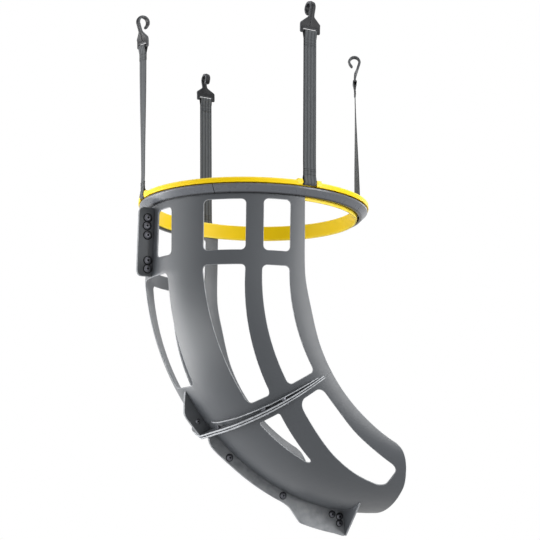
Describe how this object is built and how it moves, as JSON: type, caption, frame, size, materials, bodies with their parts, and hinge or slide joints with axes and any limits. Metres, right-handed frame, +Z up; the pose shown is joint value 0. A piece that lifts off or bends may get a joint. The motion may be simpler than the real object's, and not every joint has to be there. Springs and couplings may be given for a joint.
{
  "type": "basketball return chute",
  "caption": "Curved half-tube ball return chute that spins under a mounting ring hung from straps with hooks.",
  "frame": {"origin": "centre of the mounting ring's top face, the plane that the four straps hold level", "axes": "+Z up along the ring's axis, +X the way the ball rolls out, +Y to the left of someone who looks along +X"},
  "size_m": [0.5021, 0.4571, 0.9113],
  "materials": {
    "yellow_plastic": "smooth moulded yellow",
    "collar_plastic": "satin moulded grey",
    "shell_plastic": "satin moulded dark grey",
    "dark_steel": "blackened steel",
    "webbing": "woven grey webbing",
    "hook_plastic": "moulded charcoal"
  },
  "bodies": {
    "ring": {"mounting_ring": "yellow_plastic"},
    "chute": {"collar_rear": "collar_plastic", "collar_right": "collar_plastic", "collar_front": "collar_plastic", "collar_left": "collar_plastic", "collar_pin_1": "dark_steel", "collar_pin_2": "dark_steel", "collar_pin_3": "dark_steel", "collar_pin_4": "dark_steel", "upper_shell_right": "shell_plastic", "lower_shell_right": "shell_plastic", "upper_shell_left": "shell_plastic", "lower_shell_left": "shell_plastic", "rear_tab_screw_1": "dark_steel", "rear_tab_nut_1": "dark_steel", "rear_tab_screw_2": "dark_steel", "rear_tab_nut_2": "dark_steel", "rear_tab_screw_3": "dark_steel", "rear_tab_nut_3": "dark_steel", "rear_tab_screw_4": "dark_steel", "rear_tab_nut_4": "dark_steel", "rear_tab_screw_5": "dark_steel", "rear_tab_nut_5": "dark_steel", "keel_screw_1": "dark_steel", "keel_nut_1": "dark_steel", "keel_screw_2": "dark_steel", "keel_nut_2": "dark_steel", "keel_screw_3": "dark_steel", "keel_nut_3": "dark_steel", "keel_screw_4": "dark_steel", "keel_nut_4": "dark_steel", "keel_screw_5": "dark_steel", "keel_nut_5": "dark_steel", "split_flange_screw_1": "dark_steel", "split_flange_nut_1": "dark_steel", "split_flange_screw_2": "dark_steel", "split_flange_nut_2": "dark_steel", "split_flange_screw_3": "dark_steel", "split_flange_nut_3": "dark_steel", "split_flange_screw_4": "dark_steel", "split_flange_nut_4": "dark_steel", "split_flange_screw_5": "dark_steel", "split_flange_nut_5": "dark_steel", "split_flange_screw_6": "dark_steel", "split_flange_nut_6": "dark_steel"},
    "strap_rear": {"strap_rear": "webbing"},
    "hook_rear": {"hook_rear": "hook_plastic"},
    "strap_right": {"strap_right": "webbing"},
    "hook_right": {"hook_right": "hook_plastic"},
    "strap_front": {"strap_front": "webbing"},
    "hook_front": {"hook_front": "hook_plastic"},
    "strap_left": {"strap_left": "webbing"},
    "hook_left": {"hook_left": "hook_plastic"}
  },
  "joints": [
    {"name": "chute_spin", "type": "hinge", "parent": "ring", "child": "chute", "pos_m": [0, 0, 0], "axis": [0, 0, 1], "continuous": true},
    {"name": "strap_rear_swing", "type": "hinge", "parent": "ring", "child": "strap_rear", "pos_m": [-0.20645, 0.01988, -0.0025], "axis": [-0.0958, -0.9954, 0], "range_deg": [-25, 120]},
    {"name": "strap_right_swing", "type": "hinge", "parent": "ring", "child": "strap_right", "pos_m": [0.00977, -0.20717, -0.0025], "axis": [0.9989, 0.0471, 0], "range_deg": [-25, 120]},
    {"name": "strap_front_swing", "type": "hinge", "parent": "ring", "child": "strap_front", "pos_m": [0.20645, -0.01988, -0.0025], "axis": [0.0958, 0.9954, 0], "range_deg": [-25, 120]},
    {"name": "strap_left_swing", "type": "hinge", "parent": "ring", "child": "strap_left", "pos_m": [-0.00977, 0.20717, -0.0025], "axis": [-0.9989, -0.0471, 0], "range_deg": [-25, 120]},
    {"name": "hook_rear_swing", "type": "hinge", "parent": "strap_rear", "child": "hook_rear", "pos_m": [-0.23036, -0.01889, 0.25856], "axis": [0.1596, -0.9785, -0.1307], "range_deg": [-70, 70]},
    {"name": "hook_right_swing", "type": "hinge", "parent": "strap_right", "child": "hook_right", "pos_m": [0.00486, -0.2111, 0.26243], "axis": [0.9987, 0.0468, 0.0192], "range_deg": [-70, 70]},
    {"name": "hook_front_swing", "type": "hinge", "parent": "strap_front", "child": "hook_front", "pos_m": [0.2031, -0.0112, 0.26234], "axis": [0.4621, 0.8865, -0.0232], "range_deg": [-70, 70]},
    {"name": "hook_left_swing", "type": "hinge", "parent": "strap_left", "child": "hook_left", "pos_m": [-0.01315, 0.21997, 0.26217], "axis": [-0.9988, -0.0476, -0.0105], "range_deg": [-70, 70]}
  ]
}
